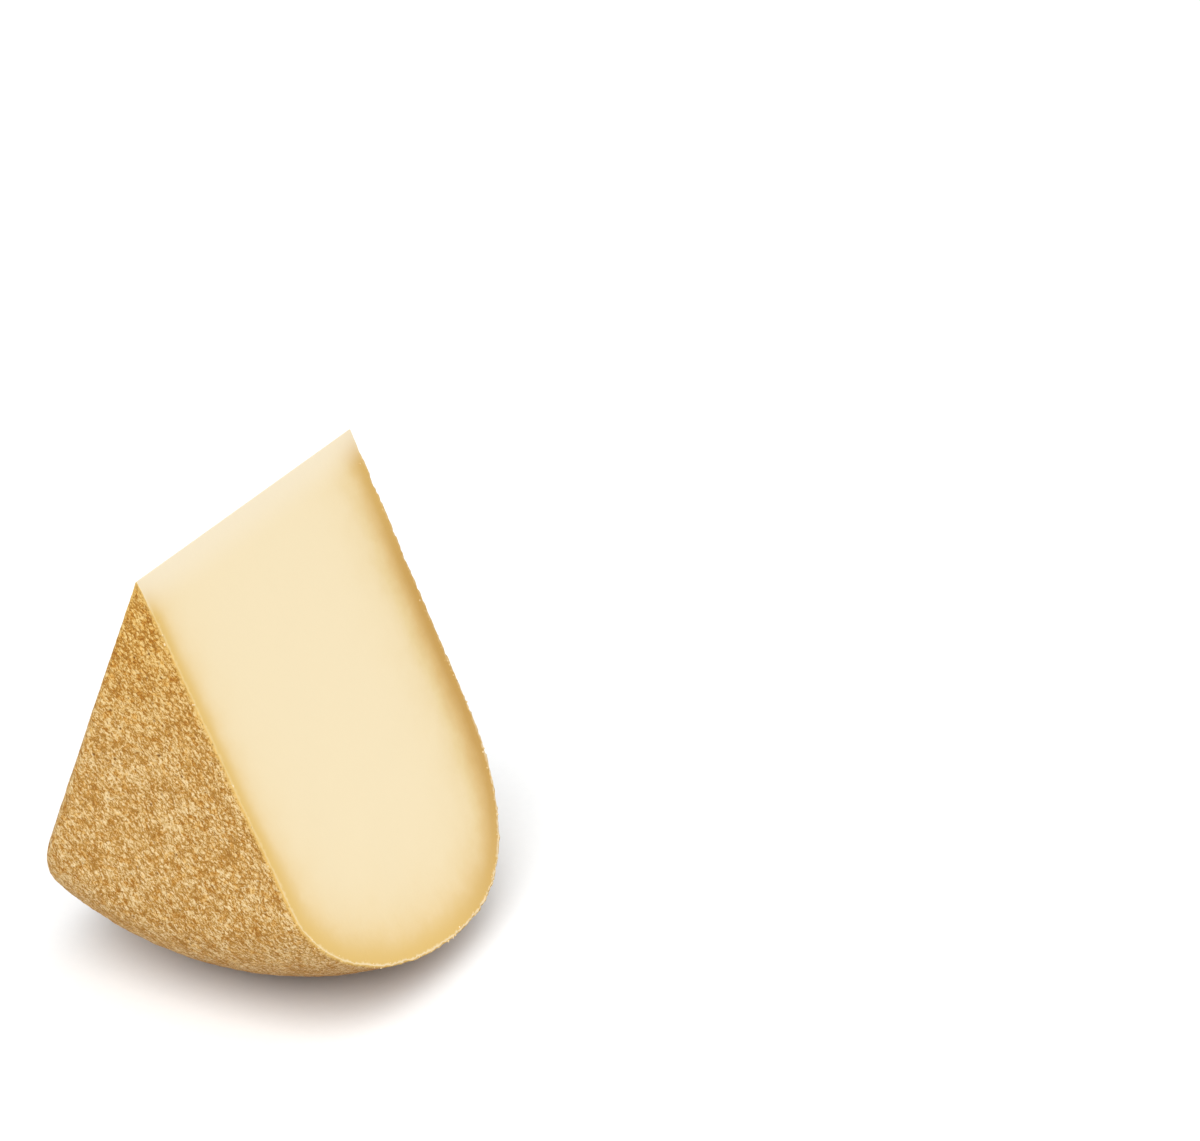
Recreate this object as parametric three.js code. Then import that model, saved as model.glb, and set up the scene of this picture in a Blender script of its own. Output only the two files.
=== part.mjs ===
// A loose wedge cut from a round pressed cheese, standing on its rounded rind heel.
//
// Millimetres, +Z up. The thin edge where the two cuts meet lies on top, along Y.
// +X is the side of the first cut, -X the side of the second one, and both cuts show paste.
// -Y and +Y are the flat rind faces of the whole cheese, and the heel below is its rounded rim.
// The origin is the middle of the wedge's outline on the surface it stands on.

import * as THREE from 'three';

// Driving dimensions.
const cutLength = 130;            // from the thin edge to the heel, down the middle of a cut
const sectorAngle = 48.6;         // degrees between the two cuts
const axisBelowEdge = 29.5;       // the round cheese's axis runs this far below the thin edge
const thickness = 96;             // between the two flat rind faces
const crestFromFrontFace = 58.4;  // the heel is fullest this far in from the -Y face
const frontShoulderRadius = 67;   // the -Y face is flat out to this distance from the axis
const backShoulderRadius = 54;    // the same for the +Y face
const frontFullness = 1.87;       // 2 is an ellipse, more is a squarer shoulder
const backFullness = 2.43;
const firstCutEdgeRound = 0.4;    // the first cut has a crisp edge
const secondCutEdgeRound = 5;     // the second cut's edge is worn round towards the heel
const thinEdgeRound = 0.4;        // the thin edge is sharp
const thinEdgeFrontRound = 0.8;   // its two corners are nearly sharp too
const thinEdgeBackRound = 0.6;
const thinEdgeRise = 3.1;         // the thin edge climbs this much from its front end to its back
const footDepth = 2.6;            // how far the heel is pressed flat where it stands

// How finely the curved surfaces are divided.
const shoulderSteps = 30;
const faceSteps = 4;
const acrossSteps = 18;
const firstEdgeSteps = 2;
const secondEdgeSteps = 5;
const endRoundSteps = 3;

// Worked out from them.
const halfAngle = THREE.MathUtils.degToRad(sectorAngle) / 2;
const cheeseRadius = Math.hypot(
  cutLength * Math.cos(halfAngle) - axisBelowEdge,
  cutLength * Math.sin(halfAngle),
);
const edgeHeight = axisBelowEdge + cheeseRadius - footDepth;
const frontY = -thickness / 2;
const backY = thickness / 2;
const crestY = frontY + crestFromFrontFace;
const climb = thinEdgeRise / (thickness * edgeHeight);
const pointsInRow = secondEdgeSteps + acrossSteps + firstEdgeSteps + 1;

function spread(from, to, steps) {
  return Array.from({ length: steps + 1 }, (_, i) => from + ((to - from) * i) / steps);
}

// The distance from the thin edge to the surface of radius r about the cheese's axis, seen from
// the thin edge at an angle from straight down.
function reach(radius, angle) {
  const sideways = axisBelowEdge * Math.sin(angle);
  return axisBelowEdge * Math.cos(angle) + Math.sqrt(Math.max(radius ** 2 - sideways ** 2, 0));
}

// One row of points runs over the rind from the second cut to the first. Both ends turn in
// along a quarter circle, so that the rind meets the cuts in rounded edges. On a flat face the
// scale shrinks the row and its roundings towards the thin edge.
function rindRow({ y, radius, scale = 1, normalY, normalRadial }) {
  const endReach = scale * reach(radius, halfAngle);
  const second = scale * secondCutEdgeRound;
  const first = scale * firstCutEdgeRound;
  const stops = [];
  for (const turn of spread(0, Math.PI / 2, secondEdgeSteps)) {
    const fromCut = second * (1 - Math.cos(turn));
    stops.push({ angle: -halfAngle + Math.asin(fromCut / endReach), sunk: second * (1 - Math.sin(turn)) });
  }
  const last = [];
  for (const turn of spread(Math.PI / 2, 0, firstEdgeSteps)) {
    const fromCut = first * (1 - Math.cos(turn));
    last.push({ angle: halfAngle - Math.asin(fromCut / endReach), sunk: first * (1 - Math.sin(turn)) });
  }
  const between = spread(stops.at(-1).angle, last[0].angle, acrossSteps).slice(1, -1);
  stops.push(...between.map((angle) => ({ angle, sunk: 0 })), ...last);
  return stops.map(({ angle, sunk }) => {
    const distance = scale * reach(radius, angle);
    const x = distance * Math.sin(angle);
    const down = distance * Math.cos(angle);
    const fromAxis = Math.hypot(x, down - axisBelowEdge);
    const inward = (sunk * normalRadial) / fromAxis;
    return new THREE.Vector3(
      x - inward * x,
      y - sunk * normalY,
      edgeHeight - down + inward * (down - axisBelowEdge),
    );
  });
}

// Rows down a flat rind face, from the thin edge to the shoulder.
function faceRows(y, normalY, shoulderRadius) {
  return spread(0, 1, faceSteps + 1).slice(1, -1).map((scale) => (
    rindRow({ y, radius: shoulderRadius, scale, normalY, normalRadial: 0 })
  ));
}

// Rows round one shoulder, from the flat face to the crest of the heel, along a quarter of a
// superellipse |y / width| ^ n + |r / height| ^ n = 1.
function shoulderRows(side, shoulderRadius, fullness) {
  const width = side < 0 ? crestY - frontY : backY - crestY;
  const height = cheeseRadius - shoulderRadius;
  return spread(0, Math.PI / 2, shoulderSteps).map((turn) => {
    const across = Math.max(Math.cos(turn), 0) ** (2 / fullness);
    const out = Math.sin(turn) ** (2 / fullness);
    const slopeY = (side * across ** (fullness - 1)) / width;
    const slopeRadial = out ** (fullness - 1) / height;
    const slope = Math.hypot(slopeY, slopeRadial);
    return rindRow({
      y: crestY + side * width * across,
      radius: shoulderRadius + height * out,
      normalY: slopeY / slope,
      normalRadial: slopeRadial / slope,
    });
  });
}

// Rows over one rounded end of the thin edge. Each is an arc that touches both cuts.
function thinEdgeRows(faceY, inwardY, endRound) {
  return spread(0, Math.PI / 2, endRoundSteps).map((turn) => {
    const centreDepth = thinEdgeRound / Math.sin(halfAngle) + endRound * (1 - Math.cos(turn));
    const radius = centreDepth * Math.sin(halfAngle);
    const y = faceY + inwardY * endRound * (1 - Math.sin(turn));
    const widest = Math.PI / 2 - halfAngle;
    return spread(-widest, widest, pointsInRow - 1).map((angle) => new THREE.Vector3(
      radius * Math.sin(angle),
      y,
      edgeHeight - centreDepth + radius * Math.cos(angle),
    ));
  });
}

// The rows in order, once round the cheese's outline: front face, heel, back face.
const rows = [
  ...thinEdgeRows(frontY, 1, thinEdgeFrontRound),
  ...faceRows(frontY, -1, frontShoulderRadius),
  ...shoulderRows(-1, frontShoulderRadius, frontFullness),
  ...shoulderRows(1, backShoulderRadius, backFullness).reverse().slice(1),
  ...faceRows(backY, 1, backShoulderRadius).reverse(),
  ...thinEdgeRows(backY, -1, thinEdgeBackRound).reverse(),
];

// Heights grow a little towards the back, so that the thin edge climbs and the foot stays level.
function standing({ x, y, z }) {
  return [x, y, Math.max(z, 0) * (1 + climb * (y - crestY))];
}

function wedgeGeometry() {
  const positions = rows.flat().flatMap(standing);
  const at = (row, point) => row * pointsInRow + point;
  const faces = [];
  const quad = (a, b, c, d) => faces.push(a, b, c, a, c, d);

  // The rind, with the thin edge joining the last row to the first.
  rows.forEach((_, row) => {
    const next = (row + 1) % rows.length;
    for (let point = 0; point < pointsInRow - 1; point += 1) {
      quad(at(row, point), at(next, point), at(next, point + 1), at(row, point + 1));
    }
  });

  // The two cuts, in strips from the front half of the outline to the back half.
  const end = pointsInRow - 1;
  for (let row = 0; row < Math.floor((rows.length - 1) / 2); row += 1) {
    const across = rows.length - 1 - row;
    faces.push(at(row, 0), at(across, 0), at(across - 1, 0));
    faces.push(at(row, end), at(across - 1, end), at(across, end));
    if (row + 1 < across - 1) {
      faces.push(at(row, 0), at(across - 1, 0), at(row + 1, 0));
      faces.push(at(row, end), at(row + 1, end), at(across - 1, end));
    }
  }

  const geometry = new THREE.BufferGeometry();
  geometry.setAttribute('position', new THREE.Float32BufferAttribute(positions, 3));
  geometry.setIndex(faces);
  geometry.computeBoundingBox();
  const middle = geometry.boundingBox.getCenter(new THREE.Vector3());
  geometry.translate(-middle.x, -middle.y, 0);
  geometry.computeVertexNormals();
  return geometry;
}

const pressedCheese = new THREE.MeshStandardMaterial({
  color: 0xedd6a0,
  roughness: 0.55,
  metalness: 0,
});

const wedge = new THREE.Mesh(wedgeGeometry(), pressedCheese);
wedge.name = 'cheese_wedge';

const group = new THREE.Group();
group.add(wedge);

export default group;
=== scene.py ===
"""A wedge cut from a round of pressed cheese: pale paste on the cuts, a dry grained rind outside.

Run it in Blender. Each piece is built by its own operator, and the panel in the 3D view's
sidebar lists them.
"""

import math
from functools import partial

import bpy
import numpy as np
from bpy.props import FloatProperty, IntProperty, PointerProperty, StringProperty
from mathutils import Matrix, Vector


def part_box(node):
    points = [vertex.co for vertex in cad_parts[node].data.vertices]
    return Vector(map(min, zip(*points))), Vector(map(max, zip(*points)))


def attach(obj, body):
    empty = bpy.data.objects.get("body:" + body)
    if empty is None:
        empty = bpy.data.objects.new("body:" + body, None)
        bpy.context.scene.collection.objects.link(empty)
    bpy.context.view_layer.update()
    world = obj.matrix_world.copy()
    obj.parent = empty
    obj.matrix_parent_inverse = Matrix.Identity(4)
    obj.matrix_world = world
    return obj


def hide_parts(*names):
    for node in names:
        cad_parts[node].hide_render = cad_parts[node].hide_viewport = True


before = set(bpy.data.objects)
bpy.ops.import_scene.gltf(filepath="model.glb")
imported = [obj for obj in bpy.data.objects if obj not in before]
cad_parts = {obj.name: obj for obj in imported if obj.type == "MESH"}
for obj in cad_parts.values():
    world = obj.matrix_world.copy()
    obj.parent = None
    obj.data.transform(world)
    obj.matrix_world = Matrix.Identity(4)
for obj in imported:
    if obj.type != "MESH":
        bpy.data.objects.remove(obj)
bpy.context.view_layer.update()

bl_info = {
    "name": "Cheese wedge",
    "version": (1, 0, 0),
    "blender": (4, 5, 0),
    "location": "View3D > Sidebar > Cheese",
    "description": "Builds a cut wedge of pressed cheese with a natural rind, and its studio stage",
    "category": "Add Mesh",
}

LOW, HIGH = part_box("cheese_wedge")
MM = 0.001

# How finely the visual mesh is divided. The front of the wedge is finer than the back.
FACE_ROWS = {-1: 128, 1: 88}       # down each flat rind face
SHOULDER_ROWS = {-1: 130, 1: 92}   # from a flat face to the heel's crest
END_ROUND_ROWS = 4                 # round each corner of the thin edge
SECOND_EDGE_POINTS = 8             # round the second cut's worn edge
ACROSS_POINTS = 148                # over the rind between the cuts
NEAR_CUT_POINTS = 8                # over a band of rind beside the first cut
NEAR_CUT_BAND = 2.6                # the band's width in mm
FIRST_EDGE_POINTS = 2              # round the first cut's crisp edge
CUT_POINTS = 26                    # over a cut from front to back
RING_DEPTHS = (0.35, 0.85, 1.5)    # mm from a cut's border to the rings that follow it
CORNER_BLEND = 2.5                 # mm over which the rings turn at a corner
CORNER_ROWS = END_ROUND_ROWS + 3   # rows at each corner above the first line across a cut
HEEL_ROWS = 16                     # rows on each side of the heel below the last line

# How far the relief reaches, in mm.
BROAD_REACH = 9.0      # swells and lumps, in over the cuts
GRAIN_REACH = 1.2      # grain and pits, in over the cuts
LIP_ON_RIND = 0.8      # the torn lip, out over the rind
LIP_ON_CUT = 0.7       # and in over the cut
KNIFE_START = 6.0      # the knife's waves are full this far in from a cut's border

# Patterns shift by this many mm for each step of the seed, and pits lie about this far apart.
SEED_STEP = (17.3, 9.1, 23.7)
PIT_SPACING = 3.3

# Settings that many nodes share.
TIMES = {"operation": "MULTIPLY"}
TIMES_PLUS = {"operation": "MULTIPLY_ADD"}
PLUS = {"operation": "ADD"}
SCALED = {"operation": "SCALE"}
SMOOTH = {"interpolation_type": "SMOOTHSTEP"}
COVER = {"data_type": "RGBA"}
TINT = {"data_type": "RGBA", "blend_type": "MULTIPLY"}


# ---- Sizes and colours a user would change ----

class WedgeShape(bpy.types.PropertyGroup):
    """Sizes of the cut wedge."""
    cut_length: FloatProperty(
        name="Cut length", description="From the thin edge to the heel, down the middle of a cut",
        default=0.130, unit="LENGTH")
    sector_angle: FloatProperty(
        name="Sector angle", description="Angle between the two cuts", default=math.radians(48.6),
        subtype="ANGLE")
    axis_below_edge: FloatProperty(
        name="Axis below edge", description="Depth of the round cheese's axis below the thin edge",
        default=0.0295, unit="LENGTH")
    thickness: FloatProperty(
        name="Thickness", description="Between the two flat rind faces", default=HIGH.y - LOW.y,
        unit="LENGTH")
    crest_from_front: FloatProperty(
        name="Crest from front", description="The heel is fullest this far in from the front face",
        default=0.0584, unit="LENGTH")
    front_shoulder: FloatProperty(
        name="Front shoulder radius", description="The front face is flat out to here", default=0.067,
        unit="LENGTH")
    back_shoulder: FloatProperty(
        name="Back shoulder radius", description="The back face is flat out to here", default=0.054,
        unit="LENGTH")
    front_fullness: FloatProperty(
        name="Front fullness", description="2 is an ellipse, more is a squarer shoulder", default=1.87)
    back_fullness: FloatProperty(
        name="Back fullness", description="2 is an ellipse, more is a squarer shoulder", default=2.43)
    first_edge_round: FloatProperty(
        name="First cut edge", description="Rounding of the crisp first cut's edge", default=0.0004,
        unit="LENGTH")
    second_edge_round: FloatProperty(
        name="Second cut edge", description="Rounding of the worn second cut's edge at the heel",
        default=0.005, unit="LENGTH")
    thin_edge_round: FloatProperty(
        name="Thin edge", description="Rounding of the sharp thin edge", default=0.0002, unit="LENGTH")
    thin_edge_rise: FloatProperty(
        name="Thin edge rise", description="The thin edge climbs this much from front to back",
        default=0.0031, unit="LENGTH")
    foot_depth: FloatProperty(
        name="Foot depth", description="How far the heel is pressed flat where it stands",
        default=0.0026, unit="LENGTH")
    front_corner_round: FloatProperty(
        name="Front corner", description="Rounding of the thin edge's front corner", default=0.0003,
        unit="LENGTH")
    back_corner_round: FloatProperty(
        name="Back corner", description="Rounding of the thin edge's back corner", default=0.0002,
        unit="LENGTH")


class RindLook(bpy.types.PropertyGroup):
    """Relief and colours of the natural rind."""
    swell: FloatProperty(
        name="Swell", description="Height of the rind's broad swells", default=0.0004, unit="LENGTH")
    lump: FloatProperty(
        name="Lumps", description="Height of the mould's lumps", default=0.0003, unit="LENGTH")
    grain: FloatProperty(
        name="Grain", description="Height of the scaly grain", default=0.0002, unit="LENGTH")
    pit: FloatProperty(
        name="Pits", description="Depth of the small pits", default=0.00035, unit="LENGTH")
    lip: FloatProperty(
        name="Lip", description="Height of the ragged lip along the first cut", default=0.0005,
        unit="LENGTH")
    knife: FloatProperty(
        name="Knife marks", description="Height of the knife's slow waves on the cuts", default=0.00012,
        unit="LENGTH")
    seed: IntProperty(name="Seed", description="Changes every random pattern", default=11)
    pit_brown: StringProperty(name="Pit brown", description="Inside the pits", default="805018")
    russet: StringProperty(name="Russet", description="Darkest ground", default="9E6D2A")
    ochre: StringProperty(name="Ochre", description="Golden ochre ground", default="B58339")
    gold: StringProperty(name="Gold", description="Middle tone of the rind", default="C4974F")
    sand: StringProperty(name="Sand", description="Pale dry scales", default="D4B176")
    cream: StringProperty(name="Cream", description="Palest crusted flecks", default="E8CD9C")
    stain: StringProperty(name="Stain", description="Tint of bare golden stains", default="F4DA94")
    high: StringProperty(name="High", description="Tint near the thin edge", default="FFF3C4")
    # The next two tints are painted shade: one dulls the rind near the heel, the other darkens and
    # browns it where it turns under.
    low: StringProperty(name="Low", description="Tint near the heel", default="F3F3F6")
    underside_shade: StringProperty(name="Damp", description="Tint where the rind turns under", default="DACFC8")
    golden: StringProperty(name="Golden", description="Thin rind beside the cuts", default="DDB464")
    rim: StringProperty(name="Rim", description="Pale rim of the rind at the cuts", default="E0BD78")


class PasteLook(bpy.types.PropertyGroup):
    """Colours of the cut paste."""
    ivory: StringProperty(name="Ivory", description="The paste away from the rind", default="E3D0AA")
    butter: StringProperty(name="Butter", description="Half-way into the front zone", default="DEC492")
    straw: StringProperty(name="Straw", description="Just under the front rind", default="D3AE62")
    honey: StringProperty(name="Honey", description="Where the back zone begins", default="D7BD88")
    amber: StringProperty(name="Amber", description="Half-way into the back zone", default="CBA768")
    tan: StringProperty(name="Tan", description="Just under the back rind", default="B98E43")
    # Pale is a painted highlight along the thin edge, where light from above catches its rounding.
    pale: StringProperty(name="Pale", description="Drier paste at the thin edge", default="E4D4B7")
    crumb: StringProperty(name="Crumb", description="Torn crumb at the very edge", default="E7D2AA")
    front_depth: FloatProperty(
        name="Front zone", description="Half depth of the darker zone under the front rind",
        default=0.0040, unit="LENGTH")
    back_depth: FloatProperty(
        name="Back zone", description="Half depth of the darker zone under the back rind",
        default=0.0074, unit="LENGTH")
    heel_depth: FloatProperty(
        name="Heel zone", description="Half depth of the darker zone above the heel", default=0.0088,
        unit="LENGTH")


class CrumbLook(bpy.types.PropertyGroup):
    """The torn crumbs left by the knife along the first cut."""
    density: FloatProperty(
        name="Density", description="Crumbs on each square metre of the lip", default=0.9e6)
    smallest: FloatProperty(
        name="Smallest", description="Smallest crumb", default=0.00022, unit="LENGTH")
    largest: FloatProperty(name="Largest", description="Largest crumb", default=0.0008, unit="LENGTH")


class StageLook(bpy.types.PropertyGroup):
    """Camera and light."""
    azimuth: FloatProperty(
        name="Azimuth", description="Turn of the camera about the wedge", default=math.radians(26.18),
        subtype="ANGLE")
    elevation: FloatProperty(
        name="Elevation", description="The camera looks down by this angle",
        default=math.radians(25.96), subtype="ANGLE")
    mark_across: FloatProperty(
        name="Mark across", description="A mark on the thin edge, across it from the origin",
        default=-0.00102, unit="LENGTH")
    mark_along: FloatProperty(
        name="Mark along", description="The mark's place along the thin edge", default=0.0138,
        unit="LENGTH")
    distance: FloatProperty(
        name="Distance", description="From the mark to the camera, along its view", default=0.6144,
        unit="LENGTH")
    mark_right: FloatProperty(
        name="Mark right", description="The mark to the right of the view's middle", default=-0.08214,
        unit="LENGTH")
    mark_up: FloatProperty(
        name="Mark up", description="The mark above the view's middle", default=0.0236, unit="LENGTH")
    lens: FloatProperty(name="Lens", description="Focal length", default=72.0, unit="CAMERA")
    sky: FloatProperty(name="Sky", description="Light from all round", default=0.5)
    floor_reach: FloatProperty(
        name="Floor reach", description="From the middle of the floor to its sides", default=6.0,
        unit="LENGTH")


# ---- Small helpers ----

def linear(hex_colour):
    """An sRGB hex colour as linear red, green, blue and alpha."""
    channels = [int(hex_colour[i:i + 2], 16) / 255 for i in (0, 2, 4)]
    curve = [c / 12.92 if c <= 0.04045 else ((c + 0.055) / 1.055) ** 2.4 for c in channels]
    return (*curve, 1.0)


def add_node(tree, kind, settings=None, **inputs):
    """Adds a node with its settings. An input is a value to set, or a node or an output to link.
    Inputs are given by name, or by number where several have one name."""
    node = tree.nodes.new(kind)
    for name, value in (settings or {}).items():
        setattr(node, name, value)
    for name, value in inputs.items():
        if name[0] == "_":
            socket = node.inputs[int(name[1:])]
        else:
            socket = next(s for s in node.inputs if s.enabled and s.name == name.replace("_", " "))
        if isinstance(value, bpy.types.Node):
            value = next(s for s in value.outputs if s.enabled)
        if isinstance(value, bpy.types.NodeSocket):
            tree.links.new(value, socket)
        else:
            socket.default_value = value
    return node


def set_stops(ramp, *stops):
    """Gives a colour ramp its stops, each a position and an sRGB hex colour."""
    elements = ramp.color_ramp.elements
    while len(elements) < len(stops):
        elements.new(0.5)
    for element, (position, colour) in zip(elements, stops):
        element.position = position
        element.color = linear(colour)


def smooth_step(x):
    """0 below 0, 1 above 1 and an S-shaped rise between."""
    x = np.clip(x, 0, 1)
    return x * x * (3 - 2 * x)


# ---- The wedge's surface ----

class Outline:
    """Rows of points once round the cheese's outline, each from the second cut to the first."""

    def __init__(self, shape):
        mm = {name: getattr(shape, name) / MM for name in (
            "cut_length", "axis_below_edge", "thickness", "crest_from_front", "front_shoulder",
            "back_shoulder", "first_edge_round", "second_edge_round", "thin_edge_round",
            "front_corner_round", "back_corner_round", "thin_edge_rise", "foot_depth")}
        self.mm = mm
        self.half = shape.sector_angle / 2
        self.fullness = {-1: shape.front_fullness, 1: shape.back_fullness}
        self.shoulder = {-1: mm["front_shoulder"], 1: mm["back_shoulder"]}
        self.corner = {-1: mm["front_corner_round"], 1: mm["back_corner_round"]}
        self.radius = math.hypot(
            mm["cut_length"] * math.cos(self.half) - mm["axis_below_edge"],
            mm["cut_length"] * math.sin(self.half))
        self.edge_height = mm["axis_below_edge"] + self.radius - mm["foot_depth"]
        self.climb = mm["thin_edge_rise"] / (mm["thickness"] * self.edge_height)
        self.face = {-1: -mm["thickness"] / 2, 1: mm["thickness"] / 2}
        self.crest = self.face[-1] + mm["crest_from_front"]
        self.count = SECOND_EDGE_POINTS + ACROSS_POINTS + NEAR_CUT_POINTS + FIRST_EDGE_POINTS
        points, outward = [], []
        for side in (-1, 1):
            rows = [*self.end_rows(side), *self.face_rows(side), *self.shoulder_rows(side)]
            if side > 0:
                rows = rows[::-1][1:]
            points += [row[0] for row in rows]
            outward += [row[1] for row in rows]
        self.points = np.array(points)
        self.outward = np.array(outward)

    def from_edge(self, points):
        """Distance of points from the sharp thin edge."""
        return np.hypot(points[..., 0], self.edge_height - points[..., 2])

    def away_from_edge(self, points):
        """0 at the thin edge, where the rind is too narrow to tear, and 1 well below it."""
        return smooth_step((self.from_edge(points) - 4) / 8)

    def torn(self, points):
        """How ragged the cut's border is: little by the front face, most at the heel and back."""
        behind = smooth_step((points[..., 1] - self.face[-1]) / 30)
        low = smooth_step((50 - points[..., 2]) / 30)
        return self.away_from_edge(points) * (0.3 + 0.7 * np.maximum(behind, low))

    def reach(self, radius, angle):
        """Distance from the thin edge to the surface of that radius about the cheese's axis."""
        below = self.mm["axis_below_edge"]
        sideways = below * np.sin(angle)
        return below * np.cos(angle) + np.sqrt(np.maximum(radius ** 2 - sideways ** 2, 0))

    def row(self, y, radius, scale, normal_y, normal_radial):
        """Points over the rind from one cut to the other, with the outward directions there."""
        end_reach = scale * self.reach(radius, self.half)
        second = scale * self.mm["second_edge_round"]
        first = scale * self.mm["first_edge_round"]
        turn = np.linspace(0, math.pi / 2, SECOND_EDGE_POINTS + 1)
        start_angle = -self.half + np.arcsin(second * (1 - np.cos(turn)) / end_reach)
        start_sunk = second * (1 - np.sin(turn))
        turn = np.linspace(math.pi / 2, 0, FIRST_EDGE_POINTS + 1)
        end_angle = self.half - np.arcsin(first * (1 - np.cos(turn)) / end_reach)
        end_sunk = first * (1 - np.sin(turn))
        band = end_angle[0] - math.asin(scale * NEAR_CUT_BAND / end_reach)
        angle = np.concatenate([
            start_angle,
            np.linspace(start_angle[-1], band, ACROSS_POINTS)[1:],
            np.linspace(band, end_angle[0], NEAR_CUT_POINTS + 1)[1:-1],
            end_angle])
        sunk = np.concatenate([
            start_sunk, np.zeros(ACROSS_POINTS + NEAR_CUT_POINTS - 2), end_sunk])
        distance = scale * self.reach(radius, angle)
        x, down = distance * np.sin(angle), distance * np.cos(angle)
        from_axis = np.stack([x, 0 * x, self.mm["axis_below_edge"] - down], 1)
        from_axis /= np.linalg.norm(from_axis, axis=1)[:, None]
        outward = from_axis * normal_radial + np.array([0, normal_y, 0])
        points = np.stack([x, np.full_like(x, y), self.edge_height - down], 1)
        return points - outward * sunk[:, None], outward

    def face_rows(self, side):
        """Rows down a flat face. The first lies just beyond the thin edge's rounded corner."""
        corner = self.mm["thin_edge_round"] / math.sin(self.half) + self.corner[side]
        first = 1.06 * corner / self.reach(self.shoulder[side], self.half)
        scales = np.linspace(first, 1, FACE_ROWS[side] + 1)[:-1]
        return [self.row(self.face[side], self.shoulder[side], scale, side, 0) for scale in scales]

    def shoulder_rows(self, side):
        """Rows from the flat face to the heel's crest, along a quarter of a superellipse."""
        width = abs(self.face[side] - self.crest)
        height = self.radius - self.shoulder[side]
        power = self.fullness[side]
        rows = []
        for turn in self.even_turns(width, height, power, SHOULDER_ROWS[side]):
            across = max(math.cos(turn), 0) ** (2 / power)
            out = math.sin(turn) ** (2 / power)
            slope_y = side * across ** (power - 1) / width
            slope_radial = out ** (power - 1) / height
            slope = math.hypot(slope_y, slope_radial)
            rows.append(self.row(
                self.crest + side * width * across, self.shoulder[side] + height * out, 1,
                slope_y / slope, slope_radial / slope))
        return rows

    def even_turns(self, width, height, power, steps):
        """Turns from the flat face to the crest that cut the shoulder into even steps."""
        turn = np.linspace(0, math.pi / 2, 2000)
        across = width * np.maximum(np.cos(turn), 0) ** (2 / power)
        out = height * np.sin(turn) ** (2 / power)
        length = np.concatenate([[0], np.cumsum(np.hypot(np.diff(across), np.diff(out)))])
        return np.interp(np.linspace(0, length[-1], steps + 1), length, turn)

    def end_rows(self, side):
        """Rows over one rounded end of the thin edge, each an arc that touches both cuts."""
        rows = []
        for turn in np.linspace(0, math.pi / 2, END_ROUND_ROWS + 1):
            drop = self.corner[side] * (1 - math.cos(turn))
            centre = self.mm["thin_edge_round"] / math.sin(self.half) + drop
            radius = centre * math.sin(self.half)
            widest = math.pi / 2 - self.half
            angle = np.linspace(-widest, widest, self.count)
            y = self.face[side] - side * self.corner[side] * (1 - math.sin(turn))
            points = np.stack([
                radius * np.sin(angle), np.full(self.count, y),
                self.edge_height - centre + radius * np.cos(angle)], 1)
            outward = np.stack([
                np.sin(angle) * math.cos(turn), np.full(self.count, side * math.sin(turn)),
                np.cos(angle) * math.cos(turn)], 1)
            rows.append((points, outward))
        return rows


def nearest_on_line(points, line):
    """Distance in mm from each point to a line of points, and the nearest segment's number."""
    start, along = line[:-1], np.diff(line, axis=0)
    length = np.maximum((along ** 2).sum(1), 1e-12)
    distance, nearest = np.empty(len(points)), np.empty(len(points), int)
    batch = 2000
    for i in range(0, len(points), batch):
        gap = points[i:i + batch, None, :] - start[None]
        t = np.clip((gap * along).sum(2) / length, 0, 1)
        gap = ((gap - t[..., None] * along) ** 2).sum(2)
        nearest[i:i + batch] = gap.argmin(1)
        distance[i:i + batch] = np.sqrt(gap.min(1))
    return distance, nearest


def strip(upper, lower, points):
    """Triangles between two lines of points, along the shorter diagonals. The first and the last
    one have a side on the lower line, because its ends can lie in line with the upper line's."""
    faces, i, j = [(upper[0], lower[0], lower[1])], 0, 1
    while i < len(upper) - 1 or j < len(lower) - 2:
        if i == len(upper) - 1:
            ahead = False
        elif j == len(lower) - 2:
            ahead = True
        else:
            over = np.linalg.norm(points[upper[i + 1]] - points[lower[j]])
            ahead = over < np.linalg.norm(points[lower[j + 1]] - points[upper[i]])
        if ahead:
            faces.append((upper[i], lower[j], upper[i + 1]))
            i += 1
        else:
            faces.append((upper[i], lower[j], lower[j + 1]))
            j += 1
    return [*faces, (upper[-1], lower[-2], lower[-1])]


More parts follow.
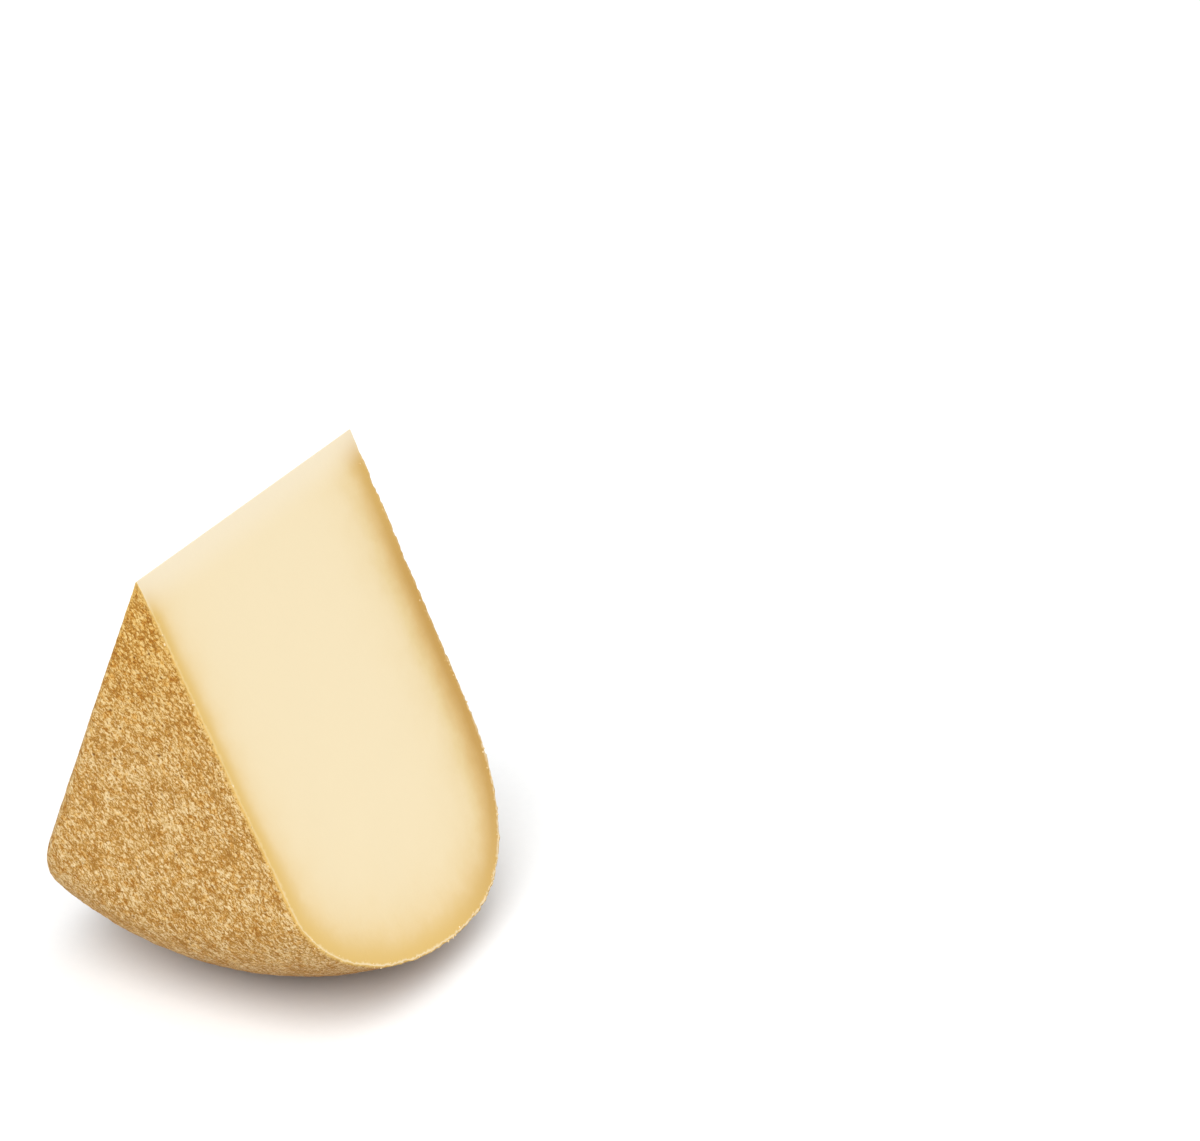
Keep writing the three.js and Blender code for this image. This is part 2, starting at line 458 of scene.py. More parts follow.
def cut_surface(border, rind_rows, normal, share):
    """A flat cut inside a closed border: rings that follow the border, then lines across.
    Border points are the rows' ends, then the points back along the thin edge. Returns the new
    points, and faces that count the border's points first."""
    total = len(border)
    # The rings lie square to the border, whose direction is blended over a short way along it.
    step = np.linalg.norm(np.roll(border, -1, axis=0) - border, axis=1)
    gone = np.cumsum(step) - step
    gap = np.abs(gone[:, None] - gone)
    gap = np.minimum(gap, step.sum() - gap)
    along = np.roll(border, -1, axis=0) - np.roll(border, 1, axis=0)
    inward = np.cross(normal, np.exp(-(gap / CORNER_BLEND) ** 2) @ along)
    inward /= np.linalg.norm(inward, axis=1)[:, None]
    if ((border.mean(0) - border) * inward).sum() < 0:
        inward = -inward
    # The rings draw closer together at the two sharp corners, where they would cross.
    from_corner = np.minimum(*(
        np.linalg.norm(border - border[corner], axis=1) for corner in (0, rind_rows - 1)))
    inward *= (0.3 + 0.7 * smooth_step(from_corner / 6))[:, None]
    points = [border + inward * depth for depth in RING_DEPTHS]
    rings = np.arange(total * (len(points) + 1)).reshape(-1, total)
    faces = []
    for outer, inner in zip(rings[:-1], rings[1:]):
        for i in range(total):
            j = (i + 1) % total
            faces.append((outer[i], outer[j], inner[j], inner[i]))
    # Lines run across from the front rows to the back ones. A strip closes the cut above them,
    # round the thin edge and its corners, and another below them, round the heel.
    last, ring = rings[-1], points[-1]
    top = [*last[:CORNER_ROWS + 1][::-1], *last[rind_rows:][::-1],
           *last[rind_rows - 1 - CORNER_ROWS:rind_rows][::-1]]
    base = rings.size
    lines = []
    for i in range(CORNER_ROWS + 1, rind_rows // 2 - HEEL_ROWS):
        front, back = ring[i], ring[rind_rows - 1 - i]
        points.append(front + (back - front) * share[:, None])
        inner = base + np.arange(len(share))
        base += len(share)
        lines.append([last[i], *inner, last[rind_rows - 1 - i]])
    heel = last[lines[-1][0] - last[0] + 1:lines[-1][-1] - last[0]]
    every = np.concatenate([border, *points])
    faces += strip(top, lines[0], every)
    faces += [face[::-1] for face in strip(heel, lines[-1], every)]
    for upper, lower in zip(lines[:-1], lines[1:]):
        for k in range(len(upper) - 1):
            faces.append((upper[k], lower[k], lower[k + 1], upper[k + 1]))
    return np.concatenate(points), faces


def plain_mesh(points, faces, rind_faces, values):
    """A mesh of points in metres, with named values on its points and a mark on its rind faces."""
    mesh = bpy.data.meshes.new("wedge")
    mesh.from_pydata(points.tolist(), [], faces)
    for name, parts in values.items():
        data = np.concatenate(parts).astype(np.float32)
        kind, field = ("FLOAT", "value") if data.ndim == 1 else ("FLOAT_VECTOR", "vector")
        mesh.attributes.new(name, kind, "POINT").data.foreach_set(field, data.reshape(-1))
    mesh.attributes.new("rind_face", "BOOLEAN", "FACE").data.foreach_set("value", rind_faces)
    return mesh


def wedge_mesh(shape):
    """The closed wedge as a mesh, with the attributes that its relief and looks follow."""
    outline = Outline(shape)
    rows, count = outline.points.shape[:2]
    # Lines across the cuts and along the thin edge are divided more finely towards their ends.
    t = np.linspace(0, 1, CUT_POINTS + 2)[1:-1]
    share = t - 0.10 * np.sin(2 * math.pi * t)
    first, last = outline.points[0], outline.points[-1]
    ridge = first + (last - first) * share[::-1, None, None]
    loop = np.concatenate([outline.points, ridge])
    outward = np.concatenate([outline.outward, np.repeat(outline.outward[:1], CUT_POINTS, axis=0)])
    at = np.arange(len(loop) * count).reshape(len(loop), count)
    nxt = np.roll(at, -1, axis=0)
    faces = np.stack([at[:, :-1], nxt[:, :-1], nxt[:, 1:], at[:, 1:]], -1).reshape(-1, 4).tolist()
    on_rind = np.zeros((len(loop), count - 1), bool)
    on_rind[END_ROUND_ROWS - 1:rows - 1 - END_ROUND_ROWS] = True
    on_rind = on_rind.reshape(-1).tolist()

    step = np.linalg.norm(np.diff(loop, axis=1), axis=2)
    run = np.concatenate([np.zeros((len(loop), 1)), np.cumsum(step, 1)], 1)
    to_first = run[:, -1:] - run
    is_rind = np.zeros((len(loop), 1))
    is_rind[END_ROUND_ROWS + 1:rows - 1 - END_ROUND_ROWS] = 1
    tilt = outline.half
    cut_normals = [np.array([side * math.cos(tilt), 0, math.sin(tilt)]) for side in (-1, 1)]
    rind_line = slice(END_ROUND_ROWS, rows - END_ROUND_ROWS)

    # The thin edge slides with the rind at its two ends, as the cuts beside it do.
    soft = np.ones(len(loop), bool)
    soft[rind_line] = False
    bare = loop[soft].reshape(-1, 3)
    under = np.zeros(loop.shape[:2])
    under[soft] = np.minimum(*(
        nearest_on_line(bare, outline.points[rind_line, end])[0] for end in (0, -1)
    )).reshape(-1, count)
    outward[soft] = 0
    outward[soft, :, 1] = np.sign(loop[soft, :, 1])
    nearer = np.where((to_first < run)[..., None], cut_normals[1], cut_normals[0])
    ragged = np.exp(-(to_first / LIP_ON_RIND) ** 2) * is_rind * outline.torn(loop)
    values = {
        "outward": [outward.reshape(-1, 3)],
        "cut_normal": [nearer.reshape(-1, 3)],
        "follow": [(1 - smooth_step(under / BROAD_REACH)).reshape(-1)],
        "skin": [np.exp(-under / GRAIN_REACH).reshape(-1)],
        "from_cut": [(np.minimum(run, to_first) * is_rind).reshape(-1)],
        "lip": [ragged.reshape(-1)],
        "on_cut": [np.zeros(loop.shape[0] * count)],
        "under_rind": [under.reshape(-1)],
    }

    points = [loop.reshape(-1, 3)]
    base = loop.shape[0] * count
    for end, normal in zip((0, count - 1), cut_normals):
        border = loop[:, end]
        inner, cut_faces = cut_surface(border, rows, normal, share)
        numbers = np.concatenate([at[:, end], base + np.arange(len(inner))])
        base += len(inner)
        flip = 1 if end else -1
        faces += [numbers[list(face)][::flip].tolist() for face in cut_faces]
        on_rind += [False] * len(cut_faces)
        depth, nearest = nearest_on_line(inner, outline.points[rind_line, end])
        slide = outline.outward[rind_line, end][nearest]
        slide = slide - (slide @ normal)[:, None] * normal
        from_border = nearest_on_line(inner, np.concatenate([border, border[:1]]))[0]
        ragged = np.exp(-(depth / LIP_ON_CUT) ** 2) * outline.torn(inner)
        points.append(inner)
        values["outward"].append(slide)
        values["cut_normal"].append(np.tile(normal, (len(inner), 1)))
        values["follow"].append(1 - smooth_step(depth / BROAD_REACH))
        values["skin"].append(np.exp(-depth / GRAIN_REACH))
        values["from_cut"].append(np.zeros(len(inner)))
        values["lip"].append(ragged if end else 0 * ragged)
        values["on_cut"].append(smooth_step(from_border / KNIFE_START))
        values["under_rind"].append(depth)

    points = np.concatenate(points)
    values["from_edge"] = [outline.from_edge(points)]
    # Heights grow a little towards the back, so that the thin edge climbs and the foot stays level.
    points[:, 2] *= 1 + outline.climb * (points[:, 1] - outline.crest)
    points *= MM
    middle = (points.min(0) + points.max(0)) / 2
    points[:, :2] -= middle[:2]
    return plain_mesh(points, faces, on_rind, values)


# ---- Geometry nodes ----

def node_tree(name, sizes):
    """A geometry node tree with the named sizes and a seed as inputs. Returns the tree, what adds
    a node to it, and its inputs."""
    tree = bpy.data.node_groups.new(name, "GeometryNodeTree")
    tree.interface.new_socket(name="Geometry", in_out="INPUT", socket_type="NodeSocketGeometry")
    for size in sizes:
        socket = tree.interface.new_socket(name=size, in_out="INPUT", socket_type="NodeSocketFloat")
        if size != "density":
            socket.subtype = "DISTANCE"
    tree.interface.new_socket(name="seed", in_out="INPUT", socket_type="NodeSocketInt")
    tree.interface.new_socket(name="Geometry", in_out="OUTPUT", socket_type="NodeSocketGeometry")
    add = partial(add_node, tree)
    return tree, add, add("NodeGroupInput").outputs


def apply_nodes(piece, tree, **values):
    """Runs a node tree on a piece and keeps the result as the piece's plain mesh."""
    modifier = piece.modifiers.new("nodes", "NODES")
    modifier.node_group = tree
    for item in tree.interface.items_tree:
        if item.in_out == "INPUT" and item.name in values:
            modifier[item.identifier] = values[item.name]
    graph = bpy.context.evaluated_depsgraph_get()
    mesh = bpy.data.meshes.new_from_object(
        piece.evaluated_get(graph), preserve_all_data_layers=True, depsgraph=graph)
    piece.modifiers.remove(modifier)
    for i in reversed(range(len(mesh.materials))):
        if mesh.materials[i] is None:
            mesh.materials.pop(index=i)
    piece.data = mesh
    mesh.shade_smooth()


def relief_nodes(rind, paste):
    """Relief over the whole wedge: swells, lumps, grain and pits on the rind, a ragged lip along
    the first cut and the knife's slow waves on both cuts. Patterns are in millimetres."""
    tree, add, given = node_tree("wedge_relief", ("swell", "lump", "grain", "pit", "lip", "knife"))
    held = {name: add("GeometryNodeInputNamedAttribute", {"data_type": kind}, Name=name)
            for name, kind in (
                ("outward", "FLOAT_VECTOR"), ("cut_normal", "FLOAT_VECTOR"), ("follow", "FLOAT"),
                ("skin", "FLOAT"), ("lip", "FLOAT"), ("on_cut", "FLOAT"), ("rind_face", "BOOLEAN"))}
    place = add("GeometryNodeInputPosition")
    seeded = add("ShaderNodeVectorMath", SCALED, Vector=SEED_STEP, Scale=given["seed"])
    mm = add("ShaderNodeVectorMath", TIMES_PLUS, _0=place, _1=(1000, 1000, 1000), _2=seeded)

    cells = add("ShaderNodeTexVoronoi", Vector=mm, Scale=1 / PIT_SPACING)
    bottom = add("ShaderNodeMapRange", SMOOTH, Value=cells, From_Min=0.0, From_Max=0.24, To_Min=-1.0,
                 To_Max=0.0)
    bottom = add("ShaderNodeMath", TIMES, _0=bottom, _1=given["pit"])
    rise = add("ShaderNodeMath", TIMES, _0=bottom, _1=held["skin"])
    # Broad relief dies away slowly on the cuts, so that their borders stay whole, and grain at once.
    for name, wavelength, detail, share in (
            ("swell", 26.0, 1.0, "follow"), ("lump", 7.0, 2.0, "follow"), ("grain", 1.7, 1.5, "skin")):
        noise = add("ShaderNodeTexNoise", Vector=mm, Scale=1 / wavelength, Detail=detail)
        height = add("ShaderNodeMath", TIMES_PLUS, _0=noise, _1=2.0, _2=-1.0)
        height = add("ShaderNodeMath", TIMES, _0=height, _1=given[name])
        rise = add("ShaderNodeMath", TIMES_PLUS, _0=height, _1=held[share], _2=rise)

    torn = add("ShaderNodeTexNoise", Vector=mm, Scale=1 / 2.3, Detail=4.0, Roughness=0.75)
    ragged = add("ShaderNodeMapRange", Value=torn, From_Min=0.35, From_Max=0.70, To_Min=-0.45,
                 To_Max=0.75)
    lip = add("ShaderNodeMath", TIMES, _0=ragged, _1=given["lip"])
    lip = add("ShaderNodeMath", TIMES, _0=lip, _1=held["lip"])
    rise = add("ShaderNodeMath", PLUS, _0=rise, _1=lip)

    # The knife came down, so its waves are long that way.
    stretched = add("ShaderNodeVectorMath", TIMES, _0=mm, _1=(1, 1, 0.25))
    waves = add("ShaderNodeTexNoise", Vector=stretched, Scale=1 / 14, Detail=1.0)
    wave = add("ShaderNodeMath", TIMES_PLUS, _0=waves, _1=2.0, _2=-1.0)
    wave = add("ShaderNodeMath", TIMES, _0=wave, _1=given["knife"])
    wave = add("ShaderNodeMath", TIMES, _0=wave, _1=held["on_cut"])
    over = add("ShaderNodeMath", TIMES_PLUS, _0=lip, _1=0.6, _2=wave)

    out = add("ShaderNodeVectorMath", SCALED, Vector=held["outward"], Scale=rise)
    side = add("ShaderNodeVectorMath", SCALED, Vector=held["cut_normal"], Scale=over)
    moved = add("ShaderNodeVectorMath", PLUS, _0=place, _1=out)
    moved = add("ShaderNodeVectorMath", PLUS, _0=moved, _1=side)
    # The heel is pressed flat where it stands.
    moved = add("ShaderNodeVectorMath", {"operation": "MAXIMUM"}, _0=moved, _1=(-1, -1, 0))
    mesh = add("GeometryNodeSetPosition", Geometry=given["Geometry"], Position=moved)
    mesh = add("GeometryNodeRealizeInstances", Geometry=mesh)
    mesh = add("GeometryNodeSetMaterial", Geometry=mesh, Material=paste)
    mesh = add("GeometryNodeSetMaterial", Geometry=mesh, Selection=held["rind_face"], Material=rind)
    add("NodeGroupOutput", Geometry=mesh)
    return tree


def crumb_nodes(material):
    """Torn crumbs strewn over the lip along the first cut, each an uneven little lump."""
    tree, add, given = node_tree("lip_crumbs", ("density", "smallest", "largest"))
    lip = add("GeometryNodeInputNamedAttribute", {"data_type": "FLOAT"}, Name="lip")
    strewn = add("GeometryNodeDistributePointsOnFaces", {"distribute_method": "RANDOM"},
                 Mesh=given["Geometry"], Seed=given["seed"])
    dense = add("ShaderNodeMath", TIMES, _0=lip, _1=given["density"])
    tree.links.new(dense.outputs[0], strewn.inputs["Density"])
    lump = add("GeometryNodeMeshIcoSphere", Radius=0.5, Subdivisions=2)
    # Most crumbs are small, and a few are large.
    size = add("FunctionNodeRandomValue", {"data_type": "FLOAT"}, Min=0.0, Max=1.0, Seed=given["seed"])
    size = add("ShaderNodeMath", {"operation": "POWER"}, _0=size.outputs[1], _1=2.2)
    size = add("ShaderNodeMapRange", Value=size, To_Min=given["smallest"], To_Max=given["largest"])
    shape = add("FunctionNodeRandomValue", {"data_type": "FLOAT_VECTOR"}, Min=(0.7, 0.5, 0.4),
                Max=(1.3, 0.9, 0.7), Seed=given["seed"])
    scale = add("ShaderNodeVectorMath", SCALED, Vector=shape, Scale=size)
    turn = add("FunctionNodeRandomValue", {"data_type": "FLOAT_VECTOR"}, Min=(0, 0, 0),
               Max=(6.28, 6.28, 6.28), Seed=given["seed"])
    crumbs = add("GeometryNodeInstanceOnPoints", Points=strewn, Instance=lump, Rotation=turn,
                 Scale=scale)
    crumbs = add("GeometryNodeRealizeInstances", Geometry=crumbs)
    crumbs = add("GeometryNodeSetMaterial", Geometry=crumbs, Material=material)
    add("NodeGroupOutput", Geometry=crumbs)
    return tree


# ---- Materials ----

def new_material(name):
    """A material, what adds a node to its tree, and the place on the piece in millimetres."""
    material = bpy.data.materials.new(name)
    material.use_nodes = True
    material.node_tree.nodes.clear()
    add = partial(add_node, material.node_tree)
    place = add("ShaderNodeTexCoord").outputs["Object"]
    return material, add, add("ShaderNodeVectorMath", SCALED, Vector=place, Scale=1000.0)


def natural_rind(look):
    """Natural rind of a pressed cheese, brushed and dried: a golden ochre ground, half covered by
    a crust of fine dry cream flakes that lie aslant, with bare golden-brown blotches and small
    dark pits. It is dull, with hardly any gloss."""
    material, add, mm = new_material("natural_rind")
    # Sizes of the crust's parts in mm, and how far its flakes wander from their places.
    flake, grain, patch, stain, speck = 0.625, 0.345, 5.88, 1.82, 2.0
    wander, bend = (0.9, 0.9, 0.9), 1.11
    wandering = add("ShaderNodeTexNoise", Vector=mm, Scale=1 / bend, Detail=1.0)
    warped = add("ShaderNodeVectorMath", TIMES_PLUS, _0=wandering.outputs["Color"], _1=wander, _2=mm)
    aslant = add("ShaderNodeVectorRotate", {"rotation_type": "Y_AXIS"}, Vector=warped,
                 Angle=math.radians(-50))
    long = add("ShaderNodeVectorMath", TIMES, _0=aslant, _1=(0.52, 1, 1))
    flakes = add("ShaderNodeTexVoronoi", Vector=long, Scale=1 / flake)
    own = add("ShaderNodeSeparateColor", Color=flakes.outputs["Color"])
    fine = add("ShaderNodeTexNoise", Vector=long, Scale=1 / grain, Detail=2.0, Roughness=0.65)
    patches = add("ShaderNodeTexNoise", Vector=mm, Scale=1 / patch, Detail=3.0, Roughness=0.6)
    # The pits lie where the relief sinks them.
    seeded = add("ShaderNodeVectorMath", PLUS, _0=mm, _1=Vector(SEED_STEP) * look.seed)
    holes = add("ShaderNodeTexVoronoi", Vector=seeded, Scale=1 / PIT_SPACING)
    # The tone is a sum: each flake's own, the grain within it, how thick the crust lies there, the
    # gaps between flakes and the crust raised round a pit.
    tone = add("ShaderNodeMath", TIMES_PLUS, _0=own.outputs[0], _1=0.22, _2=-0.108)
    crust = add("ShaderNodeMath", TIMES_PLUS, _0=patches, _1=0.27, _2=-0.12)
    gap = add("ShaderNodeMapRange", Value=flakes, From_Min=0.35, From_Max=0.75, To_Min=0.0,
              To_Max=-0.10)
    raised = add("ShaderNodeMapRange", SMOOTH, Value=holes, From_Min=0.16, From_Max=0.36, To_Min=0.06,
                 To_Max=0.0)
    for part in (fine, crust, gap, raised):
        tone = add("ShaderNodeMath", PLUS, _0=tone, _1=part)
    colour = add("ShaderNodeValToRGB", Fac=tone)
    set_stops(colour, (0.32, look.russet), (0.42, look.ochre), (0.48, look.gold), (0.53, look.sand),
              (0.66, look.cream))

    # Golden stains show where the crust is thin. The rind is warmer near the thin edge. Painted shade
    # makes it duller near the heel, and darker and browner where it turns under towards the floor.
    stains = add("ShaderNodeTexNoise", Vector=warped, Scale=1 / stain, Detail=2.0)
    height = add("ShaderNodeSeparateXYZ", Vector=mm).outputs[2]
    outward = add("ShaderNodeAttribute", {"attribute_name": "outward"}).outputs["Vector"]
    upward = add("ShaderNodeSeparateXYZ", Vector=outward).outputs[2]
    for value, start, end, first, then, tint in (
            (stains, 0.50, 0.64, 0.0, 0.65, look.stain),
            (height, 70.0, 125.0, 0.0, 0.8, look.high),
            # Painted shade: duller near the heel, and darker and browner where the rind turns under.
            (height, 5.0, 60.0, 1.0, 0.0, look.low),
            (upward, -0.90, -0.50, 1.0, 0.0, look.underside_shade)):
        share = add("ShaderNodeMapRange", SMOOTH, Value=value, From_Min=start, From_Max=end,
                    To_Min=first, To_Max=then)
        colour = add("ShaderNodeMix", TINT, Factor=share, A=colour, B=linear(tint))
    # Beside the cuts the rind thins out in golden streaks that end in a thin paler rim.
    from_cut = add("ShaderNodeAttribute", {"attribute_name": "from_cut"}).outputs["Fac"]
    worn = add("ShaderNodeMapRange", Value=fine, From_Min=0.3, From_Max=0.7, To_Min=0.6, To_Max=2.6)
    for start, end, most, bare in ((0.2, worn, 0.75, look.golden), (0.0, 0.5, 0.7, look.rim)):
        share = add("ShaderNodeMapRange", SMOOTH, Value=from_cut, From_Min=start, From_Max=end,
                    To_Min=most, To_Max=0.0)
        colour = add("ShaderNodeMix", COVER, Factor=share, A=colour, B=linear(bare))

    # Pits of many widths, and smaller dark specks between them.
    some = add("ShaderNodeSeparateColor", Color=holes.outputs["Color"])
    width = add("ShaderNodeMapRange", Value=some.outputs[0], To_Min=0.06, To_Max=0.2)
    pit = add("ShaderNodeMapRange", SMOOTH, Value=holes, From_Min=0.0, From_Max=width, To_Min=1.3,
              To_Max=0.0)
    specks = add("ShaderNodeTexVoronoi", Vector=warped, Scale=1 / speck)
    dot = add("ShaderNodeMapRange", SMOOTH, Value=specks, From_Min=0.05, From_Max=0.2, To_Min=0.6,
              To_Max=0.0)
    pit = add("ShaderNodeMath", {"operation": "MAXIMUM"}, _0=pit, _1=dot)
    colour = add("ShaderNodeMix", COVER, Factor=pit, A=colour, B=linear(look.pit_brown))

    dug = add("ShaderNodeMath", TIMES_PLUS, _0=pit, _1=-0.15, _2=tone)
    bump = add("ShaderNodeBump", Height=dug, Strength=0.9, Distance=0.0005)
    shader = add("ShaderNodeBsdfPrincipled", Base_Color=colour, Normal=bump, Roughness=0.75, IOR=1.45,
                 Specular_IOR_Level=0.2)
    add("ShaderNodeOutputMaterial", Surface=shader)
    return material


def cut_paste(look):
    """Knife-cut pressed paste: ivory and faintly waxy, deepening to straw and tan under the rind."""
    material, add, mm = new_material("cut_paste")
    # Sizes in mm of the zone's unevenness, of torn crumb and of the knife's fine streaks.
    drift, tear, streak = 8.33, 1.25, 1.25
    axes = add("ShaderNodeSeparateXYZ", Vector=mm)
    along, height = axes.outputs[1], axes.outputs[2]
    depth = add("ShaderNodeAttribute", {"attribute_name": "under_rind"}).outputs["Fac"]
    back = add("ShaderNodeMapRange", SMOOTH, Value=along, From_Min=-5.0, From_Max=44.0)
    low = add("ShaderNodeMapRange", SMOOTH, Value=height, From_Min=15.0, From_Max=75.0, To_Min=1.0,
              To_Max=0.0)
    # The darker zone under the rind is narrow in front, wider behind and widest over the heel, and
    # it fades with depth.
    zone = add("ShaderNodeMapRange", Value=back, To_Min=look.front_depth / MM,
               To_Max=look.back_depth / MM)
    zone = add("ShaderNodeMix", {"data_type": "FLOAT"}, Factor=low, A=zone, B=look.heel_depth / MM)
    drifting = add("ShaderNodeTexNoise", Vector=mm, Scale=1 / drift, Detail=4.0, Roughness=0.6)
    uneven = add("ShaderNodeMapRange", Value=drifting, From_Min=0.3, From_Max=0.7, To_Min=0.85,
                 To_Max=1.15)
    zone = add("ShaderNodeMath", TIMES, _0=zone, _1=uneven)
    share = add("ShaderNodeMath", {"operation": "DIVIDE"}, _0=depth, _1=zone)
    share = add("ShaderNodeMath", {"operation": "POWER"}, _0=share, _1=2.2)
    share = add("ShaderNodeMath", PLUS, _0=share, _1=1.0)
    near = add("ShaderNodeMath", {"operation": "DIVIDE"}, _0=1.0, _1=share)
    front_zone = add("ShaderNodeValToRGB", Fac=near)
    set_stops(front_zone, (0.0, look.ivory), (0.44, look.butter), (1.0, look.straw))
    back_zone = add("ShaderNodeValToRGB", Fac=near)
    set_stops(back_zone, (0.0, look.ivory), (0.34, look.honey), (0.61, look.amber), (0.92, look.tan))
    # The back zone is darkest half-way up, and weaker near the heel and near the thin edge.
    for start, end, first, then in ((10.0, 50.0, 0.55, 1.0), (85.0, 127.0, 1.0, 0.45)):
        part = add("ShaderNodeMapRange", SMOOTH, Value=height, From_Min=start, From_Max=end,
                   To_Min=first, To_Max=then)
        back = add("ShaderNodeMath", TIMES, _0=back, _1=part)
    colour = add("ShaderNodeMix", COVER, Factor=back, A=front_zone, B=back_zone)
    # Painted highlight: the paste pales towards the thin edge, where light from above catches it.
    from_edge = add("ShaderNodeAttribute", {"attribute_name": "from_edge"}).outputs["Fac"]
    dry = add("ShaderNodeMapRange", SMOOTH, Value=from_edge, From_Min=0.5, From_Max=11.0, To_Min=0.9,
              To_Max=0.0)
    colour = add("ShaderNodeMix", COVER, Factor=dry, A=colour, B=linear(look.pale))
    # Torn crumb pales the last millimetre before the rind, most of all by the heel.
    torn = add("ShaderNodeTexNoise", Vector=mm, Scale=1 / tear, Detail=3.0)
    reach = add("ShaderNodeMapRange", Value=torn, From_Min=0.35, From_Max=0.7, To_Min=0.3, To_Max=1.3)
    most = add("ShaderNodeMapRange", Value=low, To_Min=0.3, To_Max=0.85)
    crumbly = add("ShaderNodeMapRange", SMOOTH, Value=depth, From_Min=0.1, From_Max=reach, To_Min=most,
                  To_Max=0.0)
    colour = add("ShaderNodeMix", COVER, Factor=crumbly, A=colour, B=linear(look.crumb))
    drawn = add("ShaderNodeVectorMath", TIMES, _0=mm, _1=(1, 1, 0.12))
    streaks = add("ShaderNodeTexNoise", Vector=drawn, Scale=1 / streak, Detail=3.0)
    bump = add("ShaderNodeBump", Height=streaks, Strength=0.25, Distance=0.0002)
    shader = add("ShaderNodeBsdfPrincipled", Base_Color=colour, Normal=bump, Roughness=0.45, IOR=1.45)
    add("ShaderNodeOutputMaterial", Surface=shader)
    return material


def torn_crumb(look):
    """Crumbs torn off by the knife: the paste's own colour, drier and paler."""
    material, add, mm = new_material("torn_crumb")
    # In mm. It is wider than a crumb, so each crumb has nearly one tone.
    blotch = 1.43
    tones = add("ShaderNodeTexNoise", Vector=mm, Scale=1 / blotch, Detail=2.0)
    tone = add("ShaderNodeMapRange", Value=tones, From_Min=0.35, From_Max=0.65)
    colour = add("ShaderNodeMix", COVER, Factor=tone, A=linear(look.crumb), B=linear(look.straw))
    shader = add("ShaderNodeBsdfPrincipled", Base_Color=colour, Roughness=0.6, IOR=1.45)
    add("ShaderNodeOutputMaterial", Surface=shader)
    return material


def white_paper():
    """Matt white background paper, which gives an even pale ground."""
    material, add, mm = new_material("white_paper")
    # Its fibres are too fine to show, so clumps of them are drawn, this many mm wide.
    clump = 2.5
    clumps = add("ShaderNodeTexNoise", Vector=mm, Scale=1 / clump, Detail=2.0)
    colour = add("ShaderNodeMix", COVER, Factor=clumps, A=linear("F9F8F7"), B=linear("F6F5F4"))
    shader = add("ShaderNodeBsdfPrincipled", Base_Color=colour, Roughness=0.9, IOR=1.45)
    add("ShaderNodeOutputMaterial", Surface=shader)
    return material


# ---- Operators ----

class CHEESE_OT_wedge(bpy.types.Operator):
    """Builds the wedge with its rind and its two cuts"""
    bl_idname = "cheese.build_wedge"
    bl_label = "Build wedge"

    def execute(self, context):
        scene = context.scene
        look = scene.rind_look
        piece = bpy.data.objects.new("cheese", wedge_mesh(scene.wedge_shape))
        scene.collection.objects.link(piece)
        tree = relief_nodes(natural_rind(look), cut_paste(scene.paste_look))
        apply_nodes(piece, tree, swell=look.swell, lump=look.lump, grain=look.grain, pit=look.pit,
                    lip=look.lip, knife=look.knife, seed=look.seed)
        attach(piece, "root")
        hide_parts("cheese_wedge")
        return {"FINISHED"}


class CHEESE_OT_crumbs(bpy.types.Operator):
    """Strews torn crumbs along the first cut's edge"""
    bl_idname = "cheese.strew_crumbs"
    bl_label = "Strew crumbs"

    def execute(self, context):
        scene = context.scene
        look = scene.crumb_look
        piece = bpy.data.objects.new("crumbs", bpy.data.objects["cheese"].data)
        scene.collection.objects.link(piece)
        tree = crumb_nodes(torn_crumb(scene.paste_look))
        apply_nodes(piece, tree, density=look.density, smallest=look.smallest, largest=look.largest,
                    seed=scene.rind_look.seed)
        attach(piece, "root")
        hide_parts("cheese_wedge")
        return {"FINISHED"}


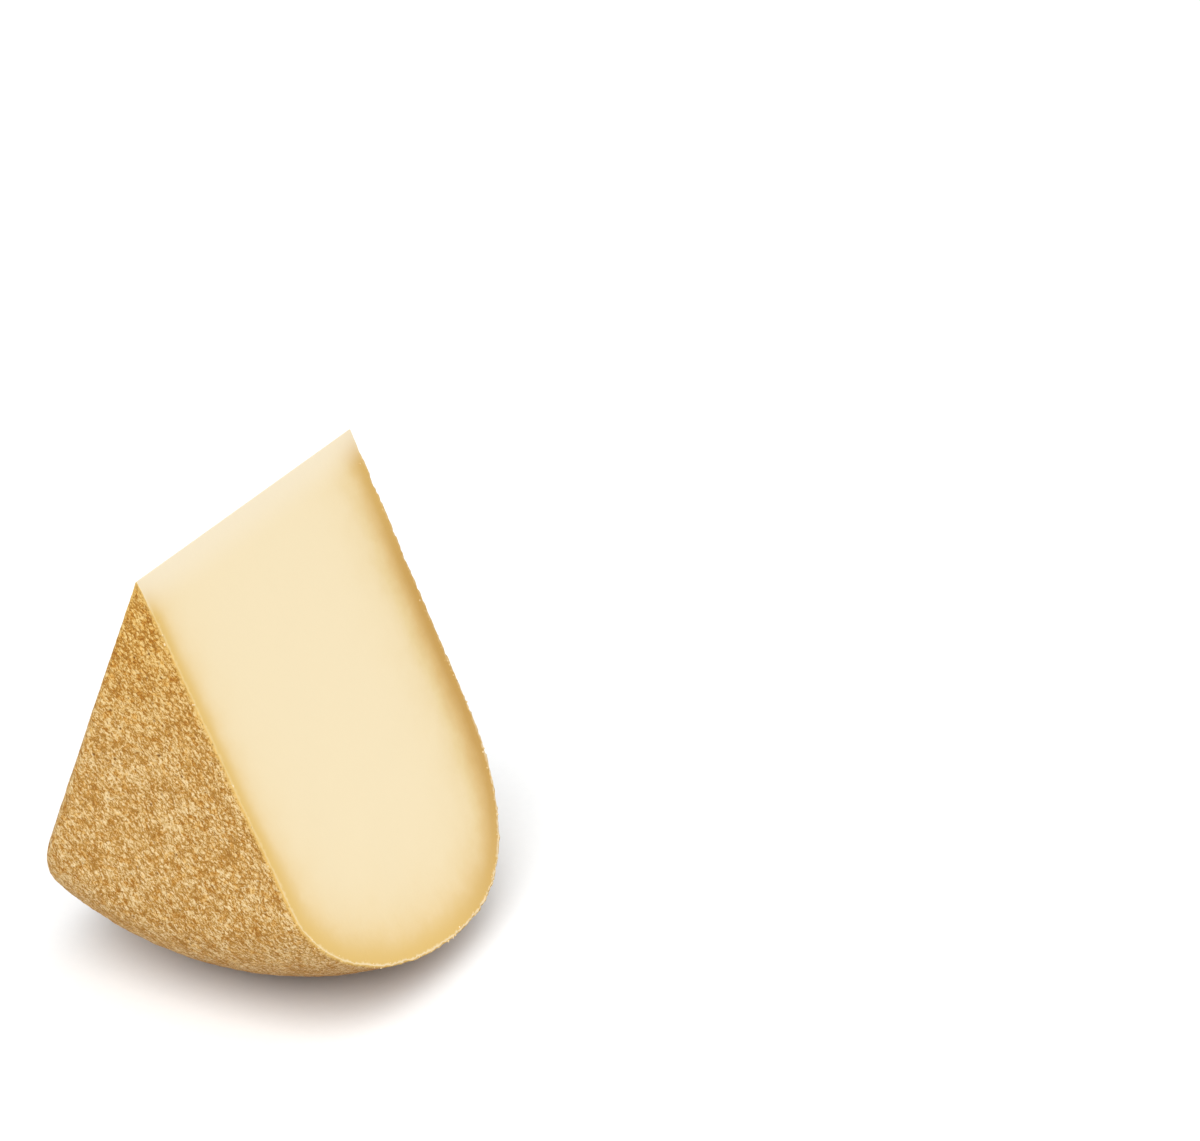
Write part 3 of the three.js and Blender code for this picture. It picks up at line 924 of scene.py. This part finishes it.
class CHEESE_OT_stage(bpy.types.Operator):
    """Sets the pale floor, the soft light and the camera"""
    bl_idname = "cheese.set_stage"
    bl_label = "Set stage"

    def execute(self, context):
        scene = context.scene
        look = scene.stage_look
        turn, tip = look.azimuth, look.elevation
        right = Vector((math.cos(turn), math.sin(turn), 0))
        level = Vector((-math.sin(turn), math.cos(turn), 0))
        ahead = level * math.cos(tip) - Vector((0, 0, math.sin(tip)))
        up = right.cross(ahead)
        edge_height = Outline(scene.wedge_shape).edge_height * MM
        mark = Vector((look.mark_across, look.mark_along, edge_height))
        place = mark - right * look.mark_right - up * look.mark_up - ahead * look.distance
        camera = bpy.data.cameras.new("camera")
        camera.sensor_fit = "HORIZONTAL"
        camera.sensor_width = 36.0
        camera.lens = look.lens
        holder = bpy.data.objects.new("camera", camera)
        holder.matrix_world = Matrix((
            (right.x, up.x, -ahead.x, place.x),
            (right.y, up.y, -ahead.y, place.y),
            (right.z, up.z, -ahead.z, place.z),
            (0, 0, 0, 1)))
        scene.collection.objects.link(holder)
        scene.camera = holder

        floor_mesh = bpy.data.meshes.new("floor")
        out = look.floor_reach
        floor_mesh.from_pydata(
            [(-out, -out, 0), (out, -out, 0), (out, out, 0), (-out, out, 0)], [], [(0, 1, 2, 3)])
        floor = bpy.data.objects.new("floor", floor_mesh)
        scene.collection.objects.link(floor)
        floor_mesh.materials.append(white_paper())

        world = bpy.data.worlds.new("studio")
        scene.world = world
        world.use_nodes = True
        background = world.node_tree.nodes["Background"]
        background.inputs["Color"].default_value = (0.9, 0.96, 1, 1)  # faintly blue
        background.inputs["Strength"].default_value = look.sky
        # Two wide soft lamps: each one's strength, width in degrees and side it stands on.
        for name, strength, size, direction in (
                ("key", 2.2, 50, (0.1, -0.85, 1.2)),
                ("fill", 1.1, 60, (0.8, -0.3, 1.2))):
            lamp = bpy.data.lights.new(name, "SUN")
            lamp.energy = strength
            lamp.angle = math.radians(size)
            holder = bpy.data.objects.new(name, lamp)
            holder.rotation_euler = Vector(direction).to_track_quat("Z", "Y").to_euler()
            scene.collection.objects.link(holder)
        scene.view_settings.view_transform = "Standard"
        return {"FINISHED"}


class CHEESE_PT_panel(bpy.types.Panel):
    """Lists the steps that build the cheese"""
    bl_label = "Cheese wedge"
    bl_idname = "CHEESE_PT_panel"
    bl_space_type = "VIEW_3D"
    bl_region_type = "UI"
    bl_category = "Cheese"

    def draw(self, context):
        column = self.layout.column()
        for step in STEPS:
            column.operator(step.bl_idname)


GROUPS = {
    "wedge_shape": WedgeShape, "rind_look": RindLook, "paste_look": PasteLook,
    "crumb_look": CrumbLook, "stage_look": StageLook,
}
STEPS = (CHEESE_OT_wedge, CHEESE_OT_crumbs, CHEESE_OT_stage)


def register():
    for cls in (*GROUPS.values(), *STEPS, CHEESE_PT_panel):
        bpy.utils.register_class(cls)
    for name, cls in GROUPS.items():
        setattr(bpy.types.Scene, name, PointerProperty(type=cls))


def unregister():
    for name in GROUPS:
        delattr(bpy.types.Scene, name)
    for cls in reversed((*GROUPS.values(), *STEPS, CHEESE_PT_panel)):
        bpy.utils.unregister_class(cls)


def main():
    register()
    for step in STEPS:
        group, name = step.bl_idname.split(".")
        getattr(getattr(bpy.ops, group), name)()


if __name__ == "__main__":
    main()
